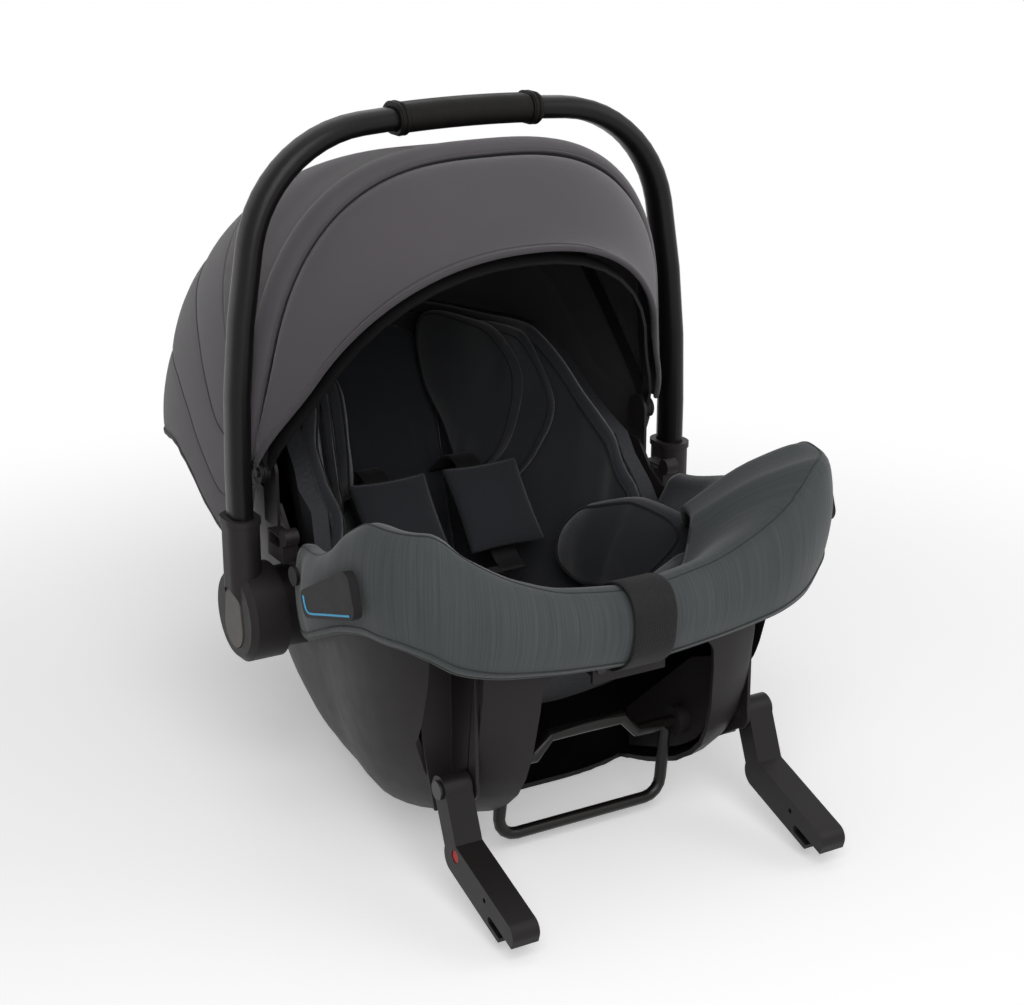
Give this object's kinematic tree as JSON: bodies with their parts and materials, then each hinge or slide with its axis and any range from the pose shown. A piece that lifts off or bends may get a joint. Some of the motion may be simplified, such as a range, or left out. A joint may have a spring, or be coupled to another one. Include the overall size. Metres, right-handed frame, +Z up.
{
  "type": "infant carrier car seat",
  "caption": "Infant carrier car seat: moulded shell, padded seat, hinged carry handle, folding canopy with a front drape, swing-out latch arms and a fold-down recline foot.",
  "frame": {"origin": "on the floor under the handle's axis, at the middle of the shell's flat base", "axes": "+X to the side that is at the right when the foot end is looked at, +Y from the foot end to the head end, +Z up"},
  "size_m": [0.4462, 0.7028, 0.5729],
  "materials": {
    "moulding": "fine texture",
    "foam": "dull",
    "lining": "soft knit",
    "collar_fabric": "heathered weave",
    "canopy_fabric": "close weave",
    "webbing": "woven",
    "tube": "matte",
    "steel": "semi-gloss",
    "grip": "grained",
    "plate": "satin",
    "accent": "gloss"
  },
  "bodies": {
    "seat": {"shell": "moulding", "foam_liner": "foam", "seat_cover": "lining", "back_pad": "lining", "bottom_pad": "lining", "head_pad": "lining", "hip_pad": "lining", "left_harness_pad": "lining", "right_harness_pad": "lining", "left_harness_strap": "webbing", "right_harness_strap": "webbing", "crotch_strap": "webbing", "buckle_body": "moulding", "collar_cover": "collar_fabric", "collar_hem": "collar_fabric", "adjuster_strap": "webbing", "front_bracket": "moulding", "belt_hooks": "moulding", "belt_guides": "moulding", "buckle_magnets": "steel", "hub_bosses": "moulding", "arm_brackets": "moulding", "left_hub_axle": "steel", "right_hub_axle": "steel", "left_hub_spring": "steel", "right_hub_spring": "steel", "left_canopy_mount": "moulding", "right_canopy_mount": "moulding", "canopy_pins": "steel", "canopy_rear_panel": "canopy_fabric", "left_arm_pin": "steel", "right_arm_pin": "steel", "foot_brackets": "moulding", "shell_screws": "steel"},
    "handle": {"handle_tube": "tube", "handle_grip": "grip", "grip_collars": "grip", "left_handle_hub": "moulding", "right_handle_hub": "moulding"},
    "left_release": {"left_hub_button": "plate", "left_lock_gear": "steel"},
    "right_release": {"right_hub_button": "plate", "right_lock_gear": "steel"},
    "canopy_rear": {"canopy_rear_bow": "moulding"},
    "canopy_front": {"canopy_front_bow": "moulding", "canopy_main_panel": "canopy_fabric"},
    "canopy_edge": {"drape_bow": "moulding", "canopy_drape": "canopy_fabric"},
    "left_arm": {"left_latch_arm": "moulding", "left_jaw_cover": "moulding"},
    "right_arm": {"right_latch_arm": "moulding", "right_jaw_cover": "moulding"},
    "left_hook": {"left_latch_hook": "steel"},
    "right_hook": {"right_latch_hook": "steel"},
    "left_indicator": {"left_latch_indicator": "accent"},
    "right_indicator": {"right_latch_indicator": "accent"},
    "foot": {"recline_foot": "steel"},
    "buckle_release": {"buckle_button": "accent"},
    "strap_cam": {"adjuster_cam": "steel"}
  },
  "joints": [
    {"name": "handle_turn", "type": "hinge", "parent": "seat", "child": "handle", "pos_m": [0, 0, 0.168], "axis": [1, 0, 0], "range_deg": [-110, 40]},
    {"name": "left_button_press", "type": "slide", "parent": "handle", "child": "left_release", "axis": [1, 0, 0], "range_m": [0, 0.0035], "stiffness_N_per_m": 1500, "deforming": ["left_hub_spring"]},
    {"name": "right_button_press", "type": "slide", "parent": "handle", "child": "right_release", "axis": [-1, 0, 0], "range_m": [0, 0.0035], "stiffness_N_per_m": 1500, "deforming": ["right_hub_spring"]},
    {"name": "rear_bow_fold", "type": "hinge", "parent": "seat", "child": "canopy_rear", "pos_m": [0, 0.006, 0.284], "axis": [1, 0, 0], "range_deg": [-30, 0], "deforming": ["canopy_rear_panel"]},
    {"name": "front_bow_fold", "type": "hinge", "parent": "canopy_rear", "child": "canopy_front", "pos_m": [0, 0.006, 0.284], "axis": [1, 0, 0], "range_deg": [-40, 0], "deforming": ["canopy_main_panel"]},
    {"name": "drape_fold", "type": "hinge", "parent": "canopy_front", "child": "canopy_edge", "pos_m": [0, 0.006, 0.284], "axis": [1, 0, 0], "range_deg": [-18, 0], "deforming": ["canopy_drape"]},
    {"name": "left_arm_fold", "type": "hinge", "parent": "seat", "child": "left_arm", "pos_m": [-0.14, -0.23, 0.094], "axis": [1, 0, 0], "range_deg": [-122, 0], "deforming": ["collar_hem"]},
    {"name": "left_hook_turn", "type": "hinge", "parent": "left_arm", "child": "left_hook", "pos_m": [-0.14, -0.29871, 0.03401], "axis": [1, 0, 0], "range_deg": [0, 25], "stiffness_Nm_per_rad": 0.08},
    {"name": "left_indicator_turn", "type": "hinge", "parent": "left_arm", "child": "left_indicator", "pos_m": [-0.14, -0.25411, 0.04885], "axis": [1, 0, 0], "range_deg": [0, 50]},
    {"name": "right_arm_fold", "type": "hinge", "parent": "seat", "child": "right_arm", "pos_m": [0.14, -0.23, 0.094], "axis": [1, 0, 0], "range_deg": [-122, 0], "deforming": ["collar_hem"]},
    {"name": "right_hook_turn", "type": "hinge", "parent": "right_arm", "child": "right_hook", "pos_m": [0.14, -0.29871, 0.03401], "axis": [1, 0, 0], "range_deg": [0, 25], "stiffness_Nm_per_rad": 0.08},
    {"name": "right_indicator_turn", "type": "hinge", "parent": "right_arm", "child": "right_indicator", "pos_m": [0.14, -0.25411, 0.04885], "axis": [1, 0, 0], "range_deg": [0, 50]},
    {"name": "foot_fold", "type": "hinge", "parent": "seat", "child": "foot", "pos_m": [0, -0.196, 0.082], "axis": [1, 0, 0], "range_deg": [0, 75]},
    {"name": "buckle_press", "type": "slide", "parent": "seat", "child": "buckle_release", "axis": [0, 0.8829, 0.4695], "range_m": [0, 0.0022], "stiffness_N_per_m": 900},
    {"name": "strap_cam_turn", "type": "hinge", "parent": "seat", "child": "strap_cam", "pos_m": [0, -0.242, 0.176], "axis": [1, 0, 0], "range_deg": [0, 20], "stiffness_Nm_per_rad": 0.06}
  ],
  "couplings": [
    {"joint": "left_indicator_turn", "follows": "left_hook_turn", "ratio": 2},
    {"joint": "right_indicator_turn", "follows": "right_hook_turn", "ratio": 2}
  ]
}
